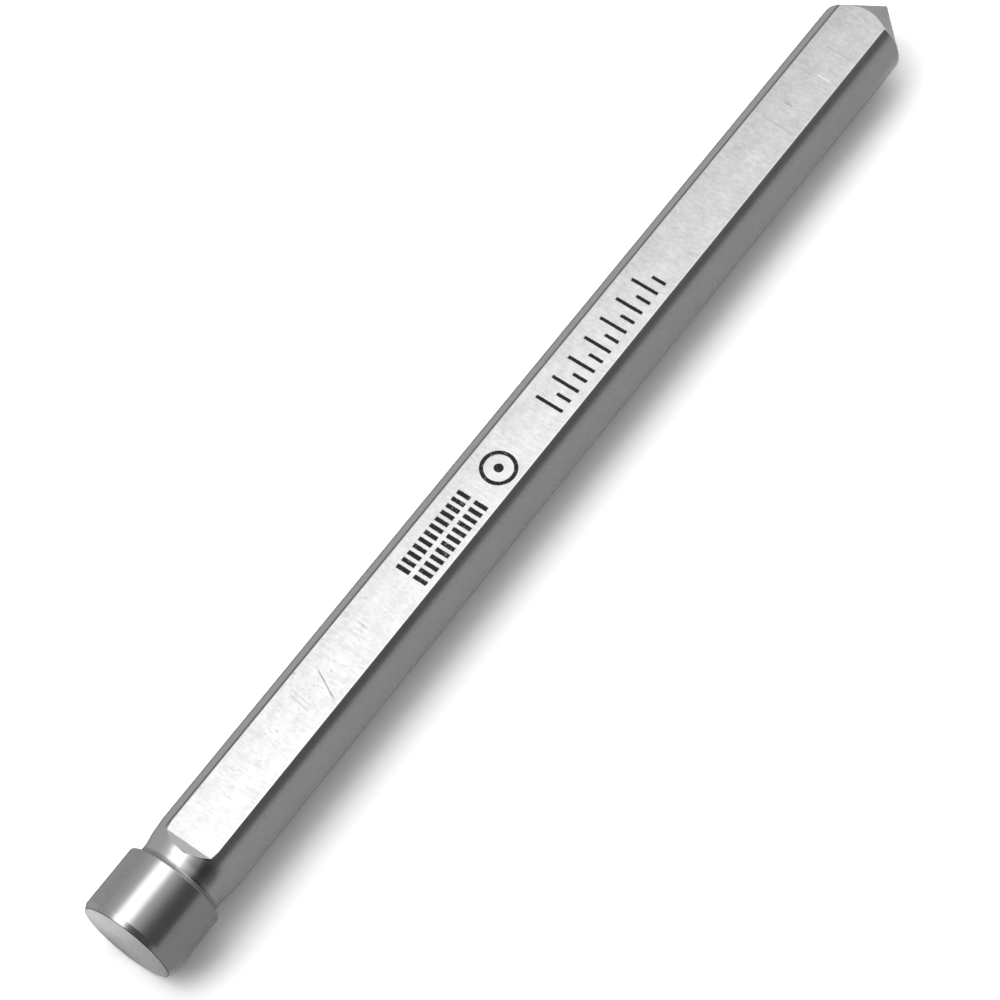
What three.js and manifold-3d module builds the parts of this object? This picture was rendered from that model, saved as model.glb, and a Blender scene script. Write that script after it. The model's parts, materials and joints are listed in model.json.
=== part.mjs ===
// Pilot pin for an annular cutter (core drill).
// One hardened steel bar, turned and ground: a collar head, a short neck behind it,
// a long guide shaft with one ground flat, and a cone point.
// Millimetres. The bar lies along X with its point towards +X and its flat facing +Z.
// The origin is under the middle of the bar, on the plane that the head's side rests on.

import * as THREE from 'three';
import { mergeVertices } from 'three/addons/utils/BufferGeometryUtils.js';
import Module from 'manifold-3d';

// Driving dimensions.
const OVERALL_LENGTH = 108;
const SHAFT_DIAMETER = 7.98;
const HEAD_DIAMETER = 8.8;
const HEAD_LENGTH = 6;
const NECK_DIAMETER = 7.27;
const POINT_ANGLE_DEG = 90;
const FLAT_HEIGHT = 3.24; // from the bar's axis to the ground flat

// Edge details.
const HEAD_CHAMFER_LENGTH = 0.5;
const HEAD_CHAMFER_DEPTH = 0.25;
const RIM_BREAK = 0.1;
const TIP_LAND_RADIUS = 0.08;

// Stations along the bar, measured from the head's end face.
const NECK_END = 7.35;
const FLARE_KNEE = 8;
const FLARE_KNEE_RADIUS = 3.82;
const FLARE_END = 9.15;
const FLAT_START = 8.5;

// The ramp that ends the flat, and the block that grinds the flat away.
const RAMP_LENGTH = 1.1;
const RAMP_ANGLE_DEG = 26;
const CUTTER_TOP = 6;
const CUTTER_OVERRUN = 2;
const CUTTER_WIDTH = 12;

// Sides of the faceted bar. The first one starts half a side round, so a flat side is underneath.
const SEGMENTS_AROUND = 96;
const halfSide = Math.PI / SEGMENTS_AROUND;

const shaftRadius = SHAFT_DIAMETER / 2;
const headRadius = HEAD_DIAMETER / 2;
const neckRadius = NECK_DIAMETER / 2;
const halfPointAngle = THREE.MathUtils.degToRad(POINT_ANGLE_DEG / 2);
const pointLength = (shaftRadius - TIP_LAND_RADIUS) / Math.tan(halfPointAngle);
const rampRise = RAMP_LENGTH * Math.tan(THREE.MathUtils.degToRad(RAMP_ANGLE_DEG));
const axisHeight = headRadius * Math.cos(halfSide);

const wasm = await Module();
wasm.setup();

// Half of the bar's section: radius, then distance from the head's end face.
function barProfile() {
  return [
    new THREE.Vector2(0, 0),
    new THREE.Vector2(headRadius - HEAD_CHAMFER_DEPTH, 0),
    new THREE.Vector2(headRadius, HEAD_CHAMFER_LENGTH),
    new THREE.Vector2(headRadius, HEAD_LENGTH - RIM_BREAK),
    new THREE.Vector2(headRadius - RIM_BREAK, HEAD_LENGTH),
    new THREE.Vector2(neckRadius, HEAD_LENGTH),
    new THREE.Vector2(neckRadius, NECK_END),
    new THREE.Vector2(FLARE_KNEE_RADIUS, FLARE_KNEE),
    new THREE.Vector2(shaftRadius, FLARE_END),
    new THREE.Vector2(shaftRadius, OVERALL_LENGTH - pointLength),
    new THREE.Vector2(TIP_LAND_RADIUS, OVERALL_LENGTH),
    new THREE.Vector2(0, OVERALL_LENGTH),
  ];
}

// The turned bar before grinding, laid along X.
function turnedBar() {
  const bar = new THREE.LatheGeometry(barProfile(), SEGMENTS_AROUND, halfSide);
  return bar.rotateZ(-Math.PI / 2);
}

// Everything above the flat, with a sloped back end that leaves the ramp on the bar.
function flatCutter() {
  const front = OVERALL_LENGTH + CUTTER_OVERRUN;
  const back = FLAT_START - RAMP_LENGTH;
  const side = new THREE.Shape([
    new THREE.Vector2(FLAT_START, FLAT_HEIGHT),
    new THREE.Vector2(front, FLAT_HEIGHT),
    new THREE.Vector2(front, CUTTER_TOP),
    new THREE.Vector2(back, CUTTER_TOP),
    new THREE.Vector2(back, FLAT_HEIGHT + rampRise),
  ]);
  const cutter = new THREE.ExtrudeGeometry(side, { depth: CUTTER_WIDTH, bevelEnabled: false });
  cutter.translate(0, 0, -CUTTER_WIDTH / 2);
  return cutter.rotateX(Math.PI / 2);
}

// A closed geometry as a solid for cutting: only positions, with shared corners merged.
function toSolid(geometry) {
  const bare = geometry.clone();
  bare.deleteAttribute('normal');
  bare.deleteAttribute('uv');
  const merged = mergeVertices(bare);
  return new wasm.Manifold(new wasm.Mesh({
    numProp: 3,
    vertProperties: new Float32Array(merged.attributes.position.array),
    triVerts: new Uint32Array(merged.index.array),
  }));
}

// A cut solid as a geometry again.
function toGeometry(solid) {
  const mesh = solid.getMesh();
  const geometry = new THREE.BufferGeometry();
  geometry.setAttribute('position', new THREE.BufferAttribute(mesh.vertProperties, 3));
  geometry.setIndex(new THREE.BufferAttribute(mesh.triVerts, 1));
  geometry.computeVertexNormals();
  return geometry;
}

// The finished pin: the turned bar with its flat ground along the top.
function pilotPin() {
  const ground = toSolid(turnedBar()).subtract(toSolid(flatCutter()));
  const steel = new THREE.MeshStandardMaterial({ color: 0xb4b4b4, roughness: 0.3, metalness: 1 });
  const pin = new THREE.Mesh(toGeometry(ground), steel);
  pin.name = 'pilot_pin';
  pin.position.set(-OVERALL_LENGTH / 2, 0, axisHeight);
  return pin;
}

const group = new THREE.Group();
group.add(pilotPin());

export default group;
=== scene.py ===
import json
import math

import bpy
import numpy as np
from mathutils import Matrix, Vector


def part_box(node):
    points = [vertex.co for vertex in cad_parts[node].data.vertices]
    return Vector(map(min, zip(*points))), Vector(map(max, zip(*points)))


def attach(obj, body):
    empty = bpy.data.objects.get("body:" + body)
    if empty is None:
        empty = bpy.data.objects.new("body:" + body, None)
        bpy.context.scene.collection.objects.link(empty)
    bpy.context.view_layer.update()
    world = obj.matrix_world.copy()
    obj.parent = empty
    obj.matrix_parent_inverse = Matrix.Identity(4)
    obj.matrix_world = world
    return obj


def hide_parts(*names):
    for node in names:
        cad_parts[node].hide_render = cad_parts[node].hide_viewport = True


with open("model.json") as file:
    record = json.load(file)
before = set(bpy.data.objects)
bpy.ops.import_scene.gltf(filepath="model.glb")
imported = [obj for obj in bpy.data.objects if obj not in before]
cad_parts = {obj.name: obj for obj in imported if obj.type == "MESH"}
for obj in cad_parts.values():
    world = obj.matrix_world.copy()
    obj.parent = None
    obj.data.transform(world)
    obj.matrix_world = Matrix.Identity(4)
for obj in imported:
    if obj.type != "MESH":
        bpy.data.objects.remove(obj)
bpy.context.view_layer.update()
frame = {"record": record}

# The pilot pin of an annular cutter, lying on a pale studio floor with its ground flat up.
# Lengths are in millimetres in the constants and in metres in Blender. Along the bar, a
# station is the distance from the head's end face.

MM = 0.001

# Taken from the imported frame.
pin_low, pin_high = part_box("pilot_pin")
mounts = {mount["name"]: mount for mount in frame["record"]["mounts"]}
LENGTH = (pin_high[0] - pin_low[0]) / MM
HEAD_FACE_X = pin_low[0] / MM
AXIS_HEIGHT = mounts["head_face"]["pos_m"][2] / MM
FLAT_HEIGHT = mounts["ground_flat"]["pos_m"][2] / MM - AXIS_HEIGHT

# The turned bar.
SHAFT_RADIUS = 3.99
HEAD_RADIUS = 4.4
HEAD_LENGTH = 6.0
NECK_RADIUS = 3.72
NECK_END = 7.1
FLARE_KNEE = 8.0
FLARE_KNEE_RADIUS = 3.88
FLARE_END = 9.3
HEAD_CHAMFER_DEPTH = 0.25
HEAD_CHAMFER_LENGTH = 0.5
NECK_ROOT_ROUNDNESS = 0.50
TIP_LAND = 0.08
POINT_LENGTH = 4.15
CONE_START = LENGTH - POINT_LENGTH

# The ground flat and the sloped ramp that ends it in front of the neck.
FLAT_START = 8.5
RAMP_ANGLE = math.radians(35)
FLAT_EDGE = 0.08  # how round the flat's long edges are
VALLEY = 0.01  # the last section on the ramp lies this far behind the flat
CLEAR_OF_HEAD = 0.2  # sections closer than this to the head are never cut

# How finely the mesh is divided.
FLAT_COLUMNS = 24
EDGE_COLUMNS = 4
ROUND_COLUMNS = 176
ARC_STEPS = 6
LONGEST_STEP = 1.0
BORDER_STEPS = 14
HALVINGS = 50  # of the stretch that is searched for the ramp's top
SAME_PLACE = 1e-6
JUST_INSIDE, JUST_OUTSIDE = 1e-5, 1e-4  # how far the nearest sections are from the flat's ends

# The floor slopes a little, so that it touches both the head's rim and the shaft near the point.
RIM_STATION = HEAD_LENGTH - 0.06
FLOOR_SLOPE = math.atan((HEAD_RADIUS - SHAFT_RADIUS) / (CONE_START - RIM_STATION))
FLOOR_HALF_SIZE = 1.5

# The camera, as a photographer would set it: where it looks, from which side, and how far off.
CAMERA_AIM = (-5.96, -0.945, 0.0)  # from the middle of the pin's axis
CAMERA_DISTANCE = 270.1
CAMERA_ELEVATION = math.radians(61.87)
CAMERA_HEADING = math.radians(41.97)
CAMERA_ROLL = math.radians(-6.57)
CAMERA_LENS = 117.28


# ---------------------------------------------------------------- the bar's outline


def turned_corners():
    """The bar's outline as corners: station, radius, and how round the corner is."""
    return [
        (0, 0, 0),
        (0, HEAD_RADIUS - HEAD_CHAMFER_DEPTH, 0.06),
        (HEAD_CHAMFER_LENGTH, HEAD_RADIUS, 0.05),
        (HEAD_LENGTH, HEAD_RADIUS, 0.12),
        (HEAD_LENGTH, NECK_RADIUS, NECK_ROOT_ROUNDNESS),
        (NECK_END, NECK_RADIUS, 1.0),
        (FLARE_KNEE, FLARE_KNEE_RADIUS, 1.5),
        (FLARE_END, SHAFT_RADIUS, 2.0),
        (CONE_START, SHAFT_RADIUS, 0.25),
        (LENGTH, TIP_LAND, 0.05),
        (LENGTH, 0, 0),
    ]


def outward(direction):
    """The outline's outward normal, for a direction of travel from the head to the point."""
    return np.array([-direction[1], direction[0]])


def corner_arc(before, corner, after, roundness):
    """Points and normals of the arc that rounds one corner of the outline."""
    arriving = (corner - before) / np.linalg.norm(corner - before)
    leaving = (after - corner) / np.linalg.norm(after - corner)
    cross = arriving[0] * leaving[1] - arriving[1] * leaving[0]
    turn = math.atan2(cross, float(arriving @ leaving))
    tangent_length = roundness * math.tan(abs(turn) / 2)
    side = math.copysign(1, turn)
    centre = corner - arriving * tangent_length + side * roundness * outward(arriving)
    arc = []
    for step in range(ARC_STEPS + 1):
        angle = turn * step / ARC_STEPS
        heading = np.array([
            arriving[0] * math.cos(angle) - arriving[1] * math.sin(angle),
            arriving[0] * math.sin(angle) + arriving[1] * math.cos(angle),
        ])
        normal = outward(heading)
        arc.append((*(centre - side * roundness * normal), *normal))
    return arc


def outline():
    """Stations of the turned bar, in order: station, radius, and the normal's two parts."""
    corners = turned_corners()
    places = [np.array(corner[:2], float) for corner in corners]
    rows = [(*places[0], -1.0, 0.0)]
    for i in range(1, len(corners) - 1):
        rows.extend(corner_arc(places[i - 1], places[i], places[i + 1], corners[i][2]))
    rows.append((*places[-1], 1.0, 0.0))
    filled = [rows[0]]
    for row in rows[1:]:
        last = filled[-1]
        gap = math.hypot(row[0] - last[0], row[1] - last[1])
        pieces = max(1, math.ceil(gap / LONGEST_STEP))
        for k in range(1, pieces + 1):
            filled.append(tuple(a + (b - a) * k / pieces for a, b in zip(last, row)))
    return filled


def with_station(rows, station):
    """The outline with one more station on it, somewhere past the head."""
    for i in range(len(rows) - 1, 0, -1):
        start, end = rows[i - 1], rows[i]
        if start[0] + SAME_PLACE < station < end[0] - SAME_PLACE:
            share = (station - start[0]) / (end[0] - start[0])
            new = tuple(a + (b - a) * share for a, b in zip(start, end))
            return rows[:i] + [new] + rows[i:]
    return rows


def radius_at(rows, station):
    """The turned bar's radius at a station past the head."""
    past_head = [row for row in rows if row[0] > HEAD_LENGTH + CLEAR_OF_HEAD]
    return float(np.interp(station, [row[0] for row in past_head], [row[1] for row in past_head]))


# ---------------------------------------------------------------- the ground flat


def cut_height(station):
    """How far from the axis the flat, or its ramp, lies."""
    return FLAT_HEIGHT + max(0.0, FLAT_START - station) * math.tan(RAMP_ANGLE)


def cut_lean(station):
    """The flat's normal's part along the bar: none on the flat, towards the point on the ramp."""
    return 0.0 if station >= FLAT_START else math.sin(RAMP_ANGLE)


def ramp_top(rows):
    """The station where the ramp meets the turned surface behind the flat."""
    low, high = HEAD_LENGTH + NECK_ROOT_ROUNDNESS, FLAT_START
    for _ in range(HALVINGS):
        middle = (low + high) / 2
        if cut_height(middle) > radius_at(rows, middle):
            low = middle
        else:
            high = middle
    return high


def point_border():
    """The station on the cone where the flat runs out."""
    share = (SHAFT_RADIUS - FLAT_HEIGHT) / (SHAFT_RADIUS - TIP_LAND)
    return CONE_START + share * POINT_LENGTH


def divided_outline():
    """The outline with closer stations where the flat begins and ends."""
    rows = outline()
    top = ramp_top(rows)
    front = point_border()
    for k in range(BORDER_STEPS + 1):
        share = (k / BORDER_STEPS) ** 2
        rows = with_station(rows, top + JUST_INSIDE + share * (FLAT_START - VALLEY - top))
        rows = with_station(rows, front - JUST_INSIDE - share * (front - CONE_START))
    rows = with_station(rows, top - JUST_OUTSIDE)
    rows = with_station(rows, front + JUST_OUTSIDE)
    rows = with_station(rows, FLAT_START)
    return rows


# ---------------------------------------------------------------- the mesh


def ring(row):
    """One closed section of the bar: its points, its normals, and whether it has a flat."""
    station, radius, along, out = row
    height = cut_height(station) if station > HEAD_LENGTH + CLEAR_OF_HEAD else radius
    has_flat = radius > height
    half_width = edge_angle = 0.0
    if has_flat:
        half_width = math.sqrt((radius - height) * (radius + height - 2 * FLAT_EDGE))
        edge_angle = math.acos((height - FLAT_EDGE) / (radius - FLAT_EDGE))
    lean = cut_lean(station) if has_flat else along
    rise = math.sqrt(max(0.0, 1 - lean * lean))
    points, normals = [], []
    for y in np.linspace(-half_width, half_width, FLAT_COLUMNS + 1):
        points.append((station, y, min(height, radius)))
        normals.append((lean, 0.0, rise))

    def add_edge(share, side):
        angle = edge_angle * share
        part = lean + (along - lean) * share
        across = math.sqrt(max(0.0, 1 - part * part))
        y = side * (half_width + FLAT_EDGE * math.sin(angle))
        points.append((station, y, height - FLAT_EDGE * (1 - math.cos(angle))))
        normals.append((part, side * across * math.sin(angle), across * math.cos(angle)))

    for k in range(1, EDGE_COLUMNS + 1):
        add_edge(k / EDGE_COLUMNS, 1)
    for angle in np.linspace(edge_angle, 2 * math.pi - edge_angle, ROUND_COLUMNS + 1)[1:]:
        points.append((station, radius * math.sin(angle), radius * math.cos(angle)))
        normals.append((along, out * math.sin(angle), out * math.cos(angle)))
    for k in range(EDGE_COLUMNS - 1, 0, -1):
        add_edge(k / EDGE_COLUMNS, -1)
    return points, normals, has_flat


def add_ring(row, points, normals):
    """Adds one section's vertices and returns the vertex number of each of its columns."""
    ring_points, ring_normals, has_flat = ring(row)
    first = len(points)
    columns = len(ring_points)
    if row[1] < SAME_PLACE:
        points.append(ring_points[0])
        normals.append((row[2], 0.0, 0.0))
        return [first] * columns
    if has_flat:
        points.extend(ring_points)
        normals.extend(ring_normals)
        return list(range(first, first + columns))
    round_start = FLAT_COLUMNS + 1 + EDGE_COLUMNS
    round_stop = round_start + ROUND_COLUMNS - 1
    points.append(ring_points[0])
    normals.append(ring_normals[0])
    points.extend(ring_points[round_start:round_stop])
    normals.extend(ring_normals[round_start:round_stop])
    middle = list(range(first + 1, first + ROUND_COLUMNS))
    return [first] * round_start + middle + [first] * (columns - round_stop)


def strip_faces(back, front):
    """The faces between two neighbouring sections, with no repeated corners."""
    faces = []
    count = len(back)
    for j in range(count):
        k = (j + 1) % count
        corners = []
        for vertex in (back[j], front[j], front[k], back[k]):
            if vertex not in corners:
                corners.append(vertex)
        if len(corners) > 2:
            faces.append(corners)
    return faces


def make_pin():
    """The whole pin as one closed mesh, with exact normals on every turned and ground surface."""
    points, normals, faces = [], [], []
    last = None
    for row in divided_outline():
        numbers = add_ring(row, points, normals)
        if last is not None:
            faces.extend(strip_faces(last, numbers))
        last = numbers
    offset = Vector((HEAD_FACE_X, 0, AXIS_HEIGHT))
    mesh = bpy.data.meshes.new("pilot_pin_bar")
    mesh.from_pydata([(Vector(point) + offset) * MM for point in points], [], faces)
    mesh.shade_smooth()
    mesh.normals_split_custom_set_from_vertices([Vector(n).normalized() for n in normals])
    pin = bpy.data.objects.new("pilot_pin_bar", mesh)
    bpy.context.collection.objects.link(pin)
    return pin


# ---------------------------------------------------------------- small helpers for node trees


class Nodes:
    """Short calls that add nodes to one node tree and link them."""

    def __init__(self, tree):
        self.tree = tree
        tree.nodes.clear()

    def add(self, kind, inputs=None, **settings):
        """A node with its settings and its inputs, which are values or other nodes' outputs."""
        node = self.tree.nodes.new(kind)
        for name, value in settings.items():
            setattr(node, name, value)
        for name, value in (inputs or {}).items():
            self.put(node.inputs[name], value)
        return node

    def put(self, socket, value):
        """Links an output to a socket, or sets the socket's own value."""
        if isinstance(value, bpy.types.NodeSocket):
            self.tree.links.new(value, socket)
        else:
            socket.default_value = value

    def math(self, operation, *values):
        """One step of arithmetic."""
        node = self.add("ShaderNodeMath", operation=operation)
        for i, value in enumerate(values):
            self.put(node.inputs[i], value)
        return node.outputs[0]

    def ramp_up(self, value, start, end):
        """0 below start, 1 above end, and smooth in between; start may be the larger one."""
        node = self.add("ShaderNodeMapRange", interpolation_type="SMOOTHSTEP")
        if start < end:
            limits = (start, end, 0.0, 1.0)
        else:
            limits = (end, start, 1.0, 0.0)
        self.put(node.inputs["Value"], value)
        for name, limit in zip(("From Min", "From Max", "To Min", "To Max"), limits):
            node.inputs[name].default_value = limit
        return node.outputs["Result"]

    def profile(self, value, stops):
        """A number read off a smooth line through stops, which are pairs of value and number."""
        low, high = stops[0][0], stops[-1][0]
        line = self.add("ShaderNodeValToRGB")
        line.color_ramp.interpolation = "EASE"
        elements = line.color_ramp.elements
        while len(elements) < len(stops):
            elements.new(0.5)
        for element, (place, level) in zip(elements, stops):
            element.position = (place - low) / (high - low)
            element.color = (level, level, level, 1)
        share = self.math("DIVIDE", self.math("SUBTRACT", value, low), high - low)
        self.put(line.inputs[0], share)
        return line.outputs[0]

    def split(self, vector):
        """The three parts of a vector."""
        return self.add("ShaderNodeSeparateXYZ", {"Vector": vector}).outputs

    def millimetres(self):
        """Each place on the object, in millimetres from its origin."""
        coordinates = self.add("ShaderNodeTexCoord").outputs["Object"]
        return self.stretched(coordinates, (1 / MM, 1 / MM, 1 / MM))

    def stretched(self, vector, scale):
        """A vector scaled by a different amount along each axis."""
        node = self.add("ShaderNodeVectorMath", operation="MULTIPLY")
        self.put(node.inputs[0], vector)
        node.inputs[1].default_value = scale
        return node.outputs[0]

    def noise(self, vector, scale, detail=3.0, roughness=0.55):
        """Smooth noise from 0 to 1, around 0.5."""
        inputs = {"Vector": vector, "Scale": scale, "Detail": detail, "Roughness": roughness}
        return self.add("ShaderNodeTexNoise", inputs).outputs[0]

    def grain(self, vector, fineness, detail, roughness):
        """Noise that is finer along some axes than along others."""
        return self.noise(self.stretched(vector, fineness), 1.0, detail, roughness)

    def centred(self, noise):
        """Noise moved to lie around 0."""
        return self.math("SUBTRACT", noise, 0.5)

    def plus(self, total, share, amount):
        """The total with a share of an amount added."""
        return self.math("MULTIPLY_ADD", share, amount, total)

    def either(self, *masks):
        """The largest of several masks."""
        result = masks[0]
        for mask in masks[1:]:
            result = self.math("MAXIMUM", result, mask)
        return result

    def both(self, *masks):
        """The product of several masks."""
        result = masks[0]
        for mask in masks[1:]:
            result = self.math("MULTIPLY", result, mask)
        return result

    def blend(self, share, first, second):
        """From first to second as share goes from 0 to 1, for plain numbers."""
        node = self.add("ShaderNodeMix", data_type="FLOAT")
        self.put(node.inputs[0], share)
        self.put(node.inputs[2], first)
        self.put(node.inputs[3], second)
        return node.outputs[0]


# ---------------------------------------------------------------- places on the bar

FLAT_TOP = AXIS_HEIGHT + FLAT_HEIGHT
FLAT_HALF_WIDTH = math.sqrt(SHAFT_RADIUS**2 - FLAT_HEIGHT**2)
FACE_RADIUS = HEAD_RADIUS - HEAD_CHAMFER_DEPTH
HEAD_END_X = HEAD_FACE_X + HEAD_LENGTH
FLAT_START_X = HEAD_FACE_X + FLAT_START
CONE_START_X = HEAD_FACE_X + CONE_START

# The flat's mask: how far from the flat's plane it reaches, and how soft its border is.
FLAT_REACH, FLAT_REACH_SOFT = 0.03, 0.01
BORDER_SOFT = 0.02  # half of the change where the ramp meets the flat

# Which way a surface faces, by one part of its normal: from not at all to fully.
FACING_UP = (0.97, 0.99)
FACING_BACK = (-0.9, -0.99)
FACING_FORWARD = (0.40, 0.50)


def inside(nodes, value, low, high, soft):
    """1 where value lies between two limits, with soft edges."""
    rising = nodes.ramp_up(value, low - soft, low + soft)
    falling = nodes.ramp_up(value, high + soft, high - soft)
    return nodes.both(rising, falling)


def from_axis(nodes, y, z):
    """How far each place is from the bar's axis."""
    up = nodes.math("SUBTRACT", z, AXIS_HEIGHT)
    squares = nodes.math("ADD", nodes.math("MULTIPLY", y, y), nodes.math("MULTIPLY", up, up))
    return nodes.math("SQRT", squares)


def surfaces(nodes, x, z):
    """Masks of the flat, of the head's end face, of the ramp, and of all that is behind the flat."""
    along, _, up = nodes.split(nodes.add("ShaderNodeNewGeometry").outputs["True Normal"])
    at_flat = inside(nodes, z, FLAT_TOP - FLAT_REACH, FLAT_TOP + FLAT_REACH, FLAT_REACH_SOFT)
    on_flat = nodes.both(at_flat, nodes.ramp_up(up, *FACING_UP))
    on_end_face = nodes.ramp_up(along, *FACING_BACK)
    behind_flat = nodes.ramp_up(x, FLAT_START_X + BORDER_SOFT, FLAT_START_X - BORDER_SOFT)
    on_ramp = nodes.both(nodes.ramp_up(along, *FACING_FORWARD), behind_flat)
    return on_flat, on_end_face, on_ramp, behind_flat


# ---------------------------------------------------------------- the laser marks

# Places are along the bar from its middle, and across it from its axis.
STROKE = 0.33
SCALE_START, SCALE_END = 1.8, 18.1
SCALE_MIDDLE, LONG_TICK, SHORT_TICK = -0.15, 2.7, 1.4
TICK_PITCH = 1.15
BAND_START, BAND_END = -17.2, -8.2
UPPER_BAND, LOWER_BAND, BAND_HEIGHT = 0.62, -1.12, 1.3
BAR_PITCH, BAR_WIDTH = 0.75, 0.42
RING_CENTRE, RING_RADIUS, RING_STROKE, DOT_RADIUS = (-4.9, -0.25), 1.45, 0.36, 0.42
MARK_SOFT = 0.035
RAGGED_GRAIN, RAGGED_DEPTH = 9.0, 0.12
WORN_NOISE = (3.2, 4.0)  # grain and detail
WORN_LIMITS = (0.3, 0.42)
WORN_BLACK = 0.72  # how much of the black is left where a mark is most worn


def repeated_strokes(nodes, turn, width, pitch):
    """Strokes across the bar, one in the middle of each turn."""
    from_middle = nodes.math("ABSOLUTE", nodes.centred(nodes.math("FRACT", turn)))
    return nodes.ramp_up(from_middle, (width / 2 + MARK_SOFT) / pitch, (width / 2 - MARK_SOFT) / pitch)


def tick_scale(nodes, x, y):
    """A plain scale: evenly spaced strokes, with every second one longer."""
    turn = nodes.math("DIVIDE", nodes.math("SUBTRACT", x, SCALE_START), TICK_PITCH)
    stroke = repeated_strokes(nodes, turn, STROKE, TICK_PITCH)
    number = nodes.math("FLOOR", turn)
    is_long = nodes.math("SUBTRACT", 1.0, nodes.math("MODULO", number, 2.0))
    low_end = SCALE_MIDDLE - LONG_TICK / 2
    tall = inside(nodes, y, low_end, low_end + LONG_TICK, MARK_SOFT)
    short = inside(nodes, y, low_end, low_end + SHORT_TICK, MARK_SOFT)
    height = nodes.blend(is_long, short, tall)
    return nodes.both(stroke, height, inside(nodes, x, SCALE_START, SCALE_END, MARK_SOFT))


def hatch_band(nodes, x, y, middle):
    """One row of plain upright bars."""
    turn = nodes.math("DIVIDE", nodes.math("SUBTRACT", x, BAND_START), BAR_PITCH)
    bar = repeated_strokes(nodes, turn, BAR_WIDTH, BAR_PITCH)
    height = inside(nodes, y, middle - BAND_HEIGHT / 2, middle + BAND_HEIGHT / 2, MARK_SOFT)
    return nodes.both(bar, height, inside(nodes, x, BAND_START, BAND_END, MARK_SOFT))


def centre_ring(nodes, x, y):
    """A ring with a dot in its middle."""
    across = nodes.math("SUBTRACT", x, RING_CENTRE[0])
    up = nodes.math("SUBTRACT", y, RING_CENTRE[1])
    squares = nodes.math("ADD", nodes.math("MULTIPLY", across, across), nodes.math("MULTIPLY", up, up))
    distance = nodes.math("SQRT", squares)
    edge = RING_STROKE / 2
    band = inside(nodes, distance, RING_RADIUS - edge, RING_RADIUS + edge, MARK_SOFT)
    dot = nodes.ramp_up(distance, DOT_RADIUS + MARK_SOFT, DOT_RADIUS - MARK_SOFT)
    return nodes.either(band, dot)


def laser_marks(nodes, position, on_flat):
    """Where the flat is blackened: 1 on the marks, with slightly ragged edges."""
    ragged = nodes.math("MULTIPLY", nodes.centred(nodes.noise(position, RAGGED_GRAIN)), RAGGED_DEPTH)
    parts = nodes.split(position)
    x = nodes.math("ADD", parts[0], ragged)
    y = nodes.math("ADD", parts[1], ragged)
    upper = hatch_band(nodes, x, y, UPPER_BAND)
    lower = hatch_band(nodes, x, y, LOWER_BAND)
    whole = nodes.ramp_up(nodes.noise(position, *WORN_NOISE), *WORN_LIMITS)
    blackness = nodes.blend(whole, WORN_BLACK, 1.0)
    emblem = nodes.both(nodes.either(upper, lower, centre_ring(nodes, x, y)), blackness)
    return nodes.both(nodes.either(tick_scale(nodes, x, y), emblem), on_flat)


# ---------------------------------------------------------------- scratches

# Light scratches across the flat: middle, half its length, its angle, and how dark it is.
SCRATCHES = [
    ((-28.55, -0.485), 1.92, 63.5, 0.24),
    ((-30.6, 0.42), 1.4, 84, 0.10),
    ((-31.05, 0.27), 1.2, 82, 0.12),
    ((-32.2, 1.04), 0.6, 84, 0.06),
    ((-23.7, 0.50), 0.6, 85, 0.08),
    ((-23.2, 0.35), 0.7, 85, 0.09),
    ((-22.7, 0.30), 0.7, 85, 0.10),
    ((-22.2, 0.35), 0.5, 85, 0.07),
    ((36.1, -0.45), 1.9, 88, 0.09),
    ((38.46, 0.12), 0.5, 80, 0.16),
    ((42.42, -0.88), 0.8, 88, -0.16),
    ((41.9, 0.4), 0.45, 88, -0.08),
    ((45.35, -0.55), 1.5, 86, 0.08),
]
SCRATCH_SIDES = (0.11, 0.03)  # half of its width, where it has faded and where it is full
SCRATCH_FULL = 0.6  # the share of its length that is full


def scratch(nodes, x, y, middle, half_length, degrees):
    """Where one scratch is."""
    dx = nodes.math("SUBTRACT", x, middle[0])
    dy = nodes.math("SUBTRACT", y, middle[1])
    cosine, sine = math.cos(math.radians(degrees)), math.sin(math.radians(degrees))
    along = nodes.math("ADD", nodes.math("MULTIPLY", dx, cosine), nodes.math("MULTIPLY", dy, sine))
    across = nodes.math("SUBTRACT", nodes.math("MULTIPLY", dy, cosine), nodes.math("MULTIPLY", dx, sine))
    thin = nodes.ramp_up(nodes.math("ABSOLUTE", across), *SCRATCH_SIDES)
    ends = nodes.ramp_up(nodes.math("ABSOLUTE", along), half_length, half_length * SCRATCH_FULL)
    return nodes.both(thin, ends)


def scratches(nodes, x, y):
    """All the scratches together, as how much darker the steel is."""
    total = 0.0
    for middle, half_length, degrees, depth in SCRATCHES:
        total = nodes.plus(total, scratch(nodes, x, y, middle, half_length, degrees), depth)
    return total


# ---------------------------------------------------------------- the steel's tone

# How pale each surface is.
STEEL = 0.56
SHAFT_STEEL = 0.72
CONE_STEEL = 0.60
RAMP_STEEL = 0.60
END_FACE_STEEL = 0.78
TONE_CHANGE = 0.1  # half of the stretch over which one turned surface's tone becomes the next one's

# Stretched noise: its grains in each millimetre along x, y and z, its detail, and its roughness.
FLAT_LINES = ((6.5, 0.45, 0.45), 3.0, 0.6)
FLAT_CLOUDS = ((0.55, 0.8, 0.8), 4.0, 0.6)
FLAT_MOTTLE = ((3.8, 1.8, 1.8), 4.0, 0.65)
FLAT_SPECKS = ((3.4, 1.5, 1.5), 2.0, 0.6)
ROUND_RINGS = ((3.0, 0.15, 0.15), 3.0, 0.6)

# Plain noise: its grains in each millimetre, its detail, and its roughness if it has its own.
FLAT_PATCHES = (0.22, 2.0)
FLAT_PITS = (2.1, 1.0, 0.5)
ROUND_CLOUDS = (0.45, 3.0, 0.6)
FACE_RINGS = (3.5, 3.0, 0.6)

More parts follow.
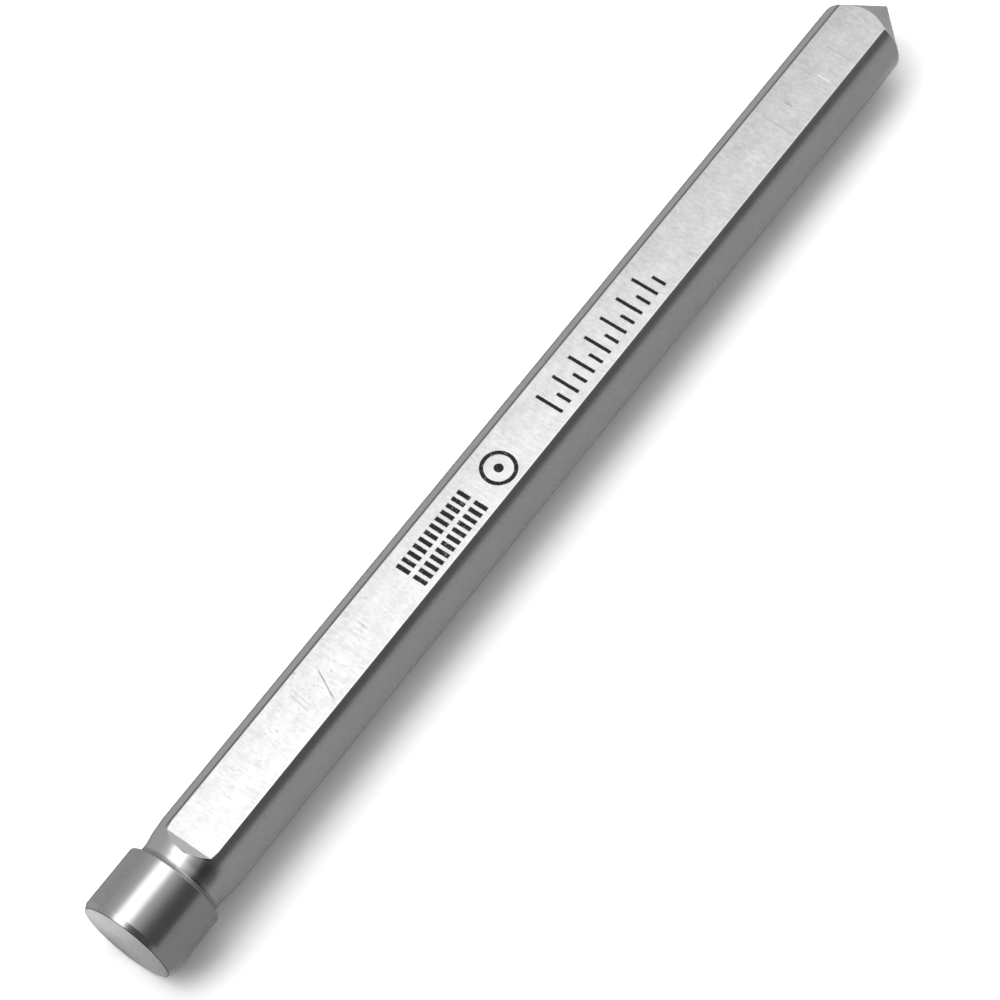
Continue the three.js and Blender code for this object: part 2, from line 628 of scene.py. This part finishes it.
# Which part of a noise shows, from not at all to fully.
PATCHES_SHOW = (0.42, 0.62)
SPECKS_SHOW = (0.32, 0.24)
PITS_SHOW = (0.30, 0.25)

# How much each layer adds to the tone.
LINES_TONE, LINES_TONE_IN_PATCHES = 0.08, 0.12
CLOUDS_TONE = 0.19
MOTTLE_TONE = 0.28
SPECKS_TONE = -0.10
PITS_TONE = -0.15
FRONT_SHADE_TONE = -0.04
FAR_SIDE_TONE = -0.045
ROUND_RINGS_TONE = 0.025
ROUND_CLOUDS_TONE = 0.05
FACE_RINGS_TONE = 0.05

# Where some layers are, from not at all to fully. A reach is from, to, and how soft its ends are.
PITTED_REACH = (-42.0, -14.0, 4.0)
PITTED_ACROSS = (-0.9, 0.1)
FRONT_SHADE_ALONG = (6.0, 24.0)
FAR_SIDE_ACROSS = (-0.6, 2.2)


def flat_texture(nodes, position, x, y):
    """The flat's tone: fine grinding lines in patches, soft mottling, specks and small pits, with painted
    shade that darkens it towards the point.
    """
    patches = nodes.ramp_up(nodes.noise(position, *FLAT_PATCHES), *PATCHES_SHOW)
    lines_tone = nodes.plus(LINES_TONE, patches, LINES_TONE_IN_PATCHES)
    tone = nodes.both(nodes.centred(nodes.grain(position, *FLAT_LINES)), lines_tone)
    tone = nodes.plus(tone, nodes.centred(nodes.grain(position, *FLAT_CLOUDS)), CLOUDS_TONE)
    tone = nodes.plus(tone, nodes.centred(nodes.grain(position, *FLAT_MOTTLE)), MOTTLE_TONE)
    tone = nodes.plus(tone, nodes.ramp_up(nodes.grain(position, *FLAT_SPECKS), *SPECKS_SHOW), SPECKS_TONE)
    pits = nodes.ramp_up(nodes.noise(position, *FLAT_PITS), *PITS_SHOW)
    pitted = nodes.both(inside(nodes, x, *PITTED_REACH), nodes.ramp_up(y, *PITTED_ACROSS))
    tone = nodes.plus(tone, nodes.both(pits, pitted), PITS_TONE)
    # Painted shade: the flat darkens towards the point, where it reflects less of the softbox.
    tone = nodes.plus(tone, nodes.ramp_up(x, *FRONT_SHADE_ALONG), FRONT_SHADE_TONE)
    return nodes.plus(tone, nodes.ramp_up(y, *FAR_SIDE_ACROSS), FAR_SIDE_TONE)


def round_texture(nodes, position):
    """The turned surfaces' tone: only faint rings and clouds, for they are polished."""
    rings = nodes.centred(nodes.grain(position, *ROUND_RINGS))
    clouds = nodes.centred(nodes.noise(position, *ROUND_CLOUDS))
    return nodes.plus(nodes.math("MULTIPLY", rings, ROUND_RINGS_TONE), clouds, ROUND_CLOUDS_TONE)


def turned_steel(nodes, x):
    """How pale the turned surfaces are: the shaft paler than the head and the cone."""
    past_head = nodes.ramp_up(x, HEAD_END_X, HEAD_END_X + TONE_CHANGE)
    on_cone = nodes.ramp_up(x, CONE_START_X - TONE_CHANGE, CONE_START_X + TONE_CHANGE)
    return nodes.blend(on_cone, nodes.blend(past_head, STEEL, SHAFT_STEEL), CONE_STEEL)


def end_face_texture(nodes, distance):
    """The end face's tone: faint rings round its middle."""
    out = nodes.add("ShaderNodeCombineXYZ", {"X": distance}).outputs[0]
    return nodes.math("MULTIPLY", nodes.centred(nodes.noise(out, *FACE_RINGS)), FACE_RINGS_TONE)


# ---------------------------------------------------------------- painted light and shade on the neck and edges

# Each reach is from, to, and how soft its ends are. First along the bar, then across it.
NECK_REACH = (HEAD_END_X + 0.4, FLAT_START_X - 0.1, 0.6)
ROOT_SHADE_REACH = (HEAD_END_X + 0.05, HEAD_END_X + 0.55, 0.12)
NECK_SHADE_REACH = (-3.15, -2.0, 0.25)
NECK_HIGHLIGHT_REACH = (-1.75, -0.55, 0.22)
FAR_EDGE_SHADE_REACH = (FLAT_HALF_WIDTH + 0.05, FLAT_HALF_WIDTH + 0.24, 0.05)
NEAR_EDGE_HIGHLIGHT_REACH = (-FLAT_HALF_WIDTH - 0.09, -FLAT_HALF_WIDTH + 0.08, 0.03)
RAMP_LINE_REACH = (-0.1, 0.09, 0.03)  # below the slope of the ramp
FACE_RIM_SHADE_REACH = (FACE_RADIUS - 0.11, FACE_RADIUS + 0.03, 0.03)  # from the bar's axis

# Where they are limited, from not at all to fully.
UPPER_NECK = (AXIS_HEIGHT, AXIS_HEIGHT + 0.5)
RAMP_LINE_ACROSS = (1.2, -0.4)
EDGE_LINES_UP = (FLAT_TOP - 0.45, FLAT_TOP - 0.35)
EDGE_LINES_ALONG = (FLAT_START_X, FLAT_START_X + 0.4)
FACE_RIM_SHADE_ALONG = (HEAD_FACE_X + 0.14, HEAD_FACE_X + 0.08)

# How much each painted shade or highlight adds to the tone.
NECK_SHADE_TONE = -0.42
NECK_HIGHLIGHT_TONE = 0.55
ROOT_SHADE_TONE = -0.26
RAMP_SHADE_LINE_TONE = -0.55
NEAR_EDGE_HIGHLIGHT_TONE = 0.16
FAR_EDGE_SHADE_TONE = -0.40
FACE_RIM_SHADE_TONE = -0.36


def with_painted_neck_light_and_shade(nodes, tone, place, on_neck, not_cut, behind_flat):
    """The tone with painted light and shade on the neck: a painted dark patch, a painted highlight,
    painted shade at its root, and a painted dark line round the ramp.
    """
    x, y, z = place
    upper_neck = nodes.both(on_neck, not_cut, nodes.ramp_up(z, *UPPER_NECK))
    # Painted shade: a dark patch on the upper neck beside the ramp, standing in for a dark reflection.
    painted_neck_shade = nodes.both(inside(nodes, y, *NECK_SHADE_REACH), upper_neck)
    # Painted highlight: a pale band on the upper neck, standing in for the softbox's reflection.
    painted_neck_highlight = nodes.both(inside(nodes, y, *NECK_HIGHLIGHT_REACH), upper_neck)
    # Painted shade in the corner where the neck meets the head.
    root = inside(nodes, x, *ROOT_SHADE_REACH)
    # Painted shade: a dark line along the border where the ramp meets the turned neck.
    rise = nodes.math("MULTIPLY", nodes.math("SUBTRACT", FLAT_START_X, x), math.tan(RAMP_ANGLE))
    below_ramp = nodes.math("SUBTRACT", nodes.math("ADD", rise, FLAT_TOP), z)
    at_slope = inside(nodes, below_ramp, *RAMP_LINE_REACH)
    beside_ramp = nodes.both(behind_flat, not_cut)
    painted_ramp_shade = nodes.both(at_slope, beside_ramp, nodes.ramp_up(y, *RAMP_LINE_ACROSS))
    tone = nodes.plus(tone, painted_neck_shade, NECK_SHADE_TONE)
    tone = nodes.plus(tone, painted_neck_highlight, NECK_HIGHLIGHT_TONE)
    tone = nodes.plus(tone, root, ROOT_SHADE_TONE)
    return nodes.plus(tone, painted_ramp_shade, RAMP_SHADE_LINE_TONE)


def with_edge_lines(nodes, tone, place, distance):
    """The tone with a painted highlight along the flat's near edge, painted shade as a dark line along
    its far edge, and painted shade as a dark rim round the end face.
    """
    x, y, z = place
    beside_flat = nodes.both(nodes.ramp_up(z, *EDGE_LINES_UP), nodes.ramp_up(x, *EDGE_LINES_ALONG))
    # Painted highlight: a pale line along the flat's near edge.
    painted_near_highlight = nodes.both(inside(nodes, y, *NEAR_EDGE_HIGHLIGHT_REACH), beside_flat)
    # Painted shade: a dark line along the flat's far edge.
    painted_far_shade = nodes.both(inside(nodes, y, *FAR_EDGE_SHADE_REACH), beside_flat)
    # Painted shade: a dark line round the rim of the head's end face.
    at_rim = inside(nodes, distance, *FACE_RIM_SHADE_REACH)
    painted_rim_shade = nodes.both(at_rim, nodes.ramp_up(x, *FACE_RIM_SHADE_ALONG))
    tone = nodes.plus(tone, painted_near_highlight, NEAR_EDGE_HIGHLIGHT_TONE)
    tone = nodes.plus(tone, painted_far_shade, FAR_EDGE_SHADE_TONE)
    return nodes.plus(tone, painted_rim_shade, FACE_RIM_SHADE_TONE)


# ---------------------------------------------------------------- the ground steel

MARK_BLACK, MARK_GREY = 0.01, 0.05  # the soot's darkest tone, and how much paler it may be
SOOT_NOISE = (5.5, 2.0, 0.5)
STEEL_ROUGHNESS = 0.27
MARK_ROUGHNESS = 0.62
BLOTCHES = (0.55, 4.0, 0.6)
BLOTCHES_ROUGHNESS = 0.08
FLAT_ROUGHNESS = 0.05  # more than the turned steel
NECK_ROUGHNESS = 0.10
BUMP_LINES = ((7.5, 0.35, 0.35), 3.0, 0.6)
BUMP_RIPPLES = ((1.4, 0.9, 0.9), 3.0, 0.5)
RIPPLES_DEPTH, LINES_DEPTH, SCRATCH_DEPTH = 0.8, 0.6, -0.6
ROUND_BUMP = 0.03  # as a share of the flat's
BUMP_HEIGHT = 0.002
ANISOTROPY, ANISOTROPY_TURN = 0.7, 0.25


def surface_roughness(nodes, position, on_flat, on_neck, marks):
    """How rough the steel is: blotchy, rougher on the flat and the neck, and dull on the marks."""
    blotches = nodes.centred(nodes.noise(position, *BLOTCHES))
    rough = nodes.plus(STEEL_ROUGHNESS, blotches, BLOTCHES_ROUGHNESS)
    rough = nodes.plus(rough, on_flat, FLAT_ROUGHNESS)
    rough = nodes.plus(rough, on_neck, NECK_ROUGHNESS)
    return nodes.blend(marks, rough, MARK_ROUGHNESS)


def surface_bump(nodes, position, on_flat, nicks):
    """Fine lines and ripples, nearly all of them on the flat, with the scratches cut in."""
    lines = nodes.math("MULTIPLY", nodes.grain(position, *BUMP_LINES), LINES_DEPTH)
    height = nodes.plus(lines, nodes.grain(position, *BUMP_RIPPLES), RIPPLES_DEPTH)
    height = nodes.math("MULTIPLY", height, nodes.blend(on_flat, ROUND_BUMP, 1.0))
    height = nodes.plus(height, nicks, SCRATCH_DEPTH)
    settings = {"Height": height, "Strength": 1.0, "Distance": BUMP_HEIGHT * MM}
    return nodes.add("ShaderNodeBump", settings).outputs[0]


def ground_steel():
    """Hardened steel, polished round the bar and ground across its flat."""
    material = bpy.data.materials.new("ground_steel")
    material.use_nodes = True
    nodes = Nodes(material.node_tree)
    position = nodes.millimetres()
    place = nodes.split(position)
    x, y, z = place
    on_flat, on_end_face, on_ramp, behind_flat = surfaces(nodes, x, z)
    not_cut = nodes.math("SUBTRACT", 1.0, nodes.either(on_ramp, on_flat))
    on_neck = inside(nodes, x, *NECK_REACH)
    distance = from_axis(nodes, y, z)
    marks = laser_marks(nodes, position, on_flat)
    nicks = nodes.both(scratches(nodes, x, y), on_flat)

    # The tone counts from STEEL until the marks are laid over it.
    round_tone = nodes.math("ADD", round_texture(nodes, position), turned_steel(nodes, x))
    round_tone = nodes.math("SUBTRACT", round_tone, STEEL)
    face_tone = nodes.math("ADD", end_face_texture(nodes, distance), END_FACE_STEEL - STEEL)
    tone = nodes.blend(on_flat, round_tone, flat_texture(nodes, position, x, y))
    tone = nodes.blend(on_end_face, tone, face_tone)
    tone = nodes.blend(on_ramp, tone, RAMP_STEEL - STEEL)
    tone = with_painted_neck_light_and_shade(nodes, tone, place, on_neck, not_cut, behind_flat)
    tone = with_edge_lines(nodes, tone, place, distance)
    tone = nodes.math("ADD", nodes.math("SUBTRACT", tone, nicks), STEEL)
    soot = nodes.plus(MARK_BLACK, nodes.noise(position, *SOOT_NOISE), MARK_GREY)
    tone = nodes.blend(marks, tone, soot)
    colour = nodes.add("ShaderNodeCombineColor", {"Red": tone, "Green": tone, "Blue": tone})

    inputs = {
        "Base Color": colour.outputs[0],
        "Metallic": 1.0,
        "Roughness": surface_roughness(nodes, position, on_flat, on_neck, marks),
        "Anisotropic": ANISOTROPY,
        "Anisotropic Rotation": ANISOTROPY_TURN,
        "Tangent": nodes.add("ShaderNodeTangent", direction_type="RADIAL", axis="X").outputs[0],
        "Normal": surface_bump(nodes, position, on_flat, nicks),
    }
    steel = nodes.add("ShaderNodeBsdfPrincipled", inputs)
    nodes.add("ShaderNodeOutputMaterial", {"Surface": steel.outputs[0]})
    return material


# ---------------------------------------------------------------- the studio

FLOOR_WHITE = 0.55
PRINT_GAIN = 3.1  # how much the floor is lifted towards paper white, as a catalogue picture is

# Painted light and shade on the floor, seen only in the pin's reflections: how bright the floor is
# there, as a share of its own brightness, first beside the bar and then past the head's end face,
# both by the distance across the bar.
FLOOR_LIGHT_BESIDE_BAR = [
    (-14, 0.78),
    (-10, 0.78),
    (-6.7, 0.92),
    (-5.6, 1.2),
    (-4.7, 1.75),
    (-2, 1.5),
    (4, 0.36),
    (7.5, 0.40),
    (9.5, 0.66),
    (12.5, 1.0),
    (16, 1.0),
]
FLOOR_LIGHT_BEFORE_HEAD = [
    (-8, 0.8),
    (-3.5, 0.9),
    (0, 1.3),
    (3.5, 1.8),
    (6, 1.8),
    (12, 1.2),
]
HEAD_END_BLEND = 1.0  # how long the change from one to the other is
POINT_BLEND = (-3, 4)  # from the tip, where the floor goes back to its own brightness
POINT_BLEND_ACROSS = (-4.0, 0.0)

# Brightness of the studio seen from the pin, by angle from straight up towards the camera's side.
ROOM_BY_ANGLE = [
    (-180, 0.45),
    (-75, 0.42),
    (-58, 0.50),
    (-38, 0.60),
    (0, 0.62),
    (40, 0.45),
    (72, 0.31),
    (180, 0.31),
]

# Angles below are in degrees. Lean is how far a direction leans towards the pin's point. A pair
# is where a change starts and where it ends.
BACKDROP_BRIGHTNESS = 1.2  # where the camera sees past the floor
SOFTBOX_ANGLE, SOFTBOX_TILT = -19.5, 0.2  # at no lean, and how much it grows with lean
SOFTBOX_HALF_WIDTH, SOFTBOX_EDGE = 10, 13
SOFTBOX_BRIGHTNESS = 1.85
SOFTBOX_POINT_END, SOFTBOX_HEAD_END = (40, 5), (-62, -44)
SHADE_START, SHADE_TILT = (0, 38), 0.63
SHADE_END = (80, 70)
SHADE_LEVEL = 0.08
POINT_END_START, POINT_END_LEVEL = (42, 62), 0.85
HEAD_END_START, HEAD_END_LEVEL = (-48, -66), 0.12


def studio_floor():
    """A pale floor under the pin, with painted light and shade where the pin reflects it."""
    half = FLOOR_HALF_SIZE
    corners = [(-half, -half, 0), (half, -half, 0), (half, half, 0), (-half, half, 0)]
    mesh = bpy.data.meshes.new("studio_floor")
    mesh.from_pydata(corners, [], [(0, 1, 2, 3)])
    floor = bpy.data.objects.new("studio_floor", mesh)
    bpy.context.collection.objects.link(floor)
    rim = Vector((HEAD_FACE_X + RIM_STATION, 0, AXIS_HEIGHT - HEAD_RADIUS)) * MM
    floor.matrix_world = Matrix.Translation(rim) @ Matrix.Rotation(-FLOOR_SLOPE, 4, "Y")
    material = bpy.data.materials.new("studio_floor")
    material.use_nodes = True
    nodes = Nodes(material.node_tree)
    x, y, _ = nodes.split(nodes.millimetres())  # from under the head's front rim
    # Painted light and shade on the floor, in reflections only: a share of the floor's own brightness.
    beside = nodes.profile(y, FLOOR_LIGHT_BESIDE_BAR)
    ahead = nodes.profile(y, FLOOR_LIGHT_BEFORE_HEAD)
    before_head = nodes.ramp_up(x, -RIM_STATION, -RIM_STATION - HEAD_END_BLEND)
    share = nodes.blend(before_head, beside, ahead)
    tip_x = LENGTH - RIM_STATION
    past_point = nodes.ramp_up(x, tip_x + POINT_BLEND[0], tip_x + POINT_BLEND[1])
    before_point = nodes.both(past_point, nodes.ramp_up(y, *POINT_BLEND_ACROSS))
    share = nodes.blend(before_point, share, 1.0)
    seen = nodes.add("ShaderNodeLightPath").outputs["Is Camera Ray"]
    white = nodes.blend(seen, nodes.math("MULTIPLY", share, FLOOR_WHITE), FLOOR_WHITE * PRINT_GAIN)
    colour = nodes.add("ShaderNodeCombineColor", {"Red": white, "Green": white, "Blue": white})
    diffuse = nodes.add("ShaderNodeBsdfDiffuse", {"Color": colour.outputs[0]})
    nodes.add("ShaderNodeOutputMaterial", {"Surface": diffuse.outputs[0]})
    mesh.materials.append(material)


def studio_light():
    """Soft light from all round: a wide overhead softbox, pale walls, and a dark near side."""
    world = bpy.data.worlds.new("studio_light")
    world.use_nodes = True
    bpy.context.scene.world = world
    nodes = Nodes(world.node_tree)
    direction = nodes.add("ShaderNodeTexCoord").outputs["Generated"]
    x, y, z = nodes.split(direction)
    turn = nodes.math("ARCTAN2", nodes.math("MULTIPLY", y, -1.0), z)
    angle = nodes.math("DEGREES", turn)
    lean = nodes.math("DEGREES", nodes.math("ARCSINE", x))

    walls = nodes.profile(angle, ROOM_BY_ANGLE)
    shade_angle = nodes.math("MULTIPLY_ADD", lean, -SHADE_TILT, angle)
    shade = nodes.both(nodes.ramp_up(shade_angle, *SHADE_START), nodes.ramp_up(angle, *SHADE_END))
    room = nodes.blend(shade, walls, SHADE_LEVEL)
    room = nodes.blend(nodes.ramp_up(lean, *POINT_END_START), room, POINT_END_LEVEL)
    room = nodes.blend(nodes.ramp_up(lean, *HEAD_END_START), room, HEAD_END_LEVEL)

    softbox_angle = nodes.math("MULTIPLY_ADD", lean, SOFTBOX_TILT, SOFTBOX_ANGLE)
    off_centre = nodes.math("ABSOLUTE", nodes.math("SUBTRACT", angle, softbox_angle))
    across = nodes.ramp_up(off_centre, SOFTBOX_HALF_WIDTH + SOFTBOX_EDGE, SOFTBOX_HALF_WIDTH)
    along = nodes.both(nodes.ramp_up(lean, *SOFTBOX_POINT_END), nodes.ramp_up(lean, *SOFTBOX_HEAD_END))
    softbox = nodes.both(across, along, SOFTBOX_BRIGHTNESS)
    light = nodes.math("ADD", room, softbox)
    seen = nodes.add("ShaderNodeLightPath").outputs["Is Camera Ray"]
    strength = nodes.blend(seen, light, BACKDROP_BRIGHTNESS)
    background = nodes.add("ShaderNodeBackground", {"Color": (1, 1, 1, 1), "Strength": strength})
    nodes.add("ShaderNodeOutputWorld", {"Surface": background.outputs[0]})


def studio_camera():
    """A long lens looking steeply down, with the pin running from the lower left to the upper right."""
    flat_part = math.cos(CAMERA_ELEVATION)
    forward = Vector((
        flat_part * math.cos(CAMERA_HEADING),
        flat_part * math.sin(CAMERA_HEADING),
        -math.sin(CAMERA_ELEVATION),
    ))
    level_right = forward.cross(Vector((0, 0, 1))).normalized()
    level_up = level_right.cross(forward)
    right = level_right * math.cos(CAMERA_ROLL) + level_up * math.sin(CAMERA_ROLL)
    up = right.cross(forward)
    aim = Vector(CAMERA_AIM) + Vector((HEAD_FACE_X + LENGTH / 2, 0, AXIS_HEIGHT))
    place = (aim - forward * CAMERA_DISTANCE) * MM
    data = bpy.data.cameras.new("studio_camera")
    data.lens = CAMERA_LENS
    data.sensor_width = 36
    data.clip_start = 0.01
    data.clip_end = 20
    camera = bpy.data.objects.new("studio_camera", data)
    bpy.context.collection.objects.link(camera)
    turn = Matrix((right, up, -forward)).transposed().to_4x4()
    camera.matrix_world = Matrix.Translation(place) @ turn
    bpy.context.scene.camera = camera


# ---------------------------------------------------------------- putting it together

studio_camera()
studio_floor()
studio_light()
bpy.context.scene.view_settings.view_transform = "Standard"

bar = make_pin()
bar.data.materials.append(ground_steel())
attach(bar, "root")
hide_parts("pilot_pin")
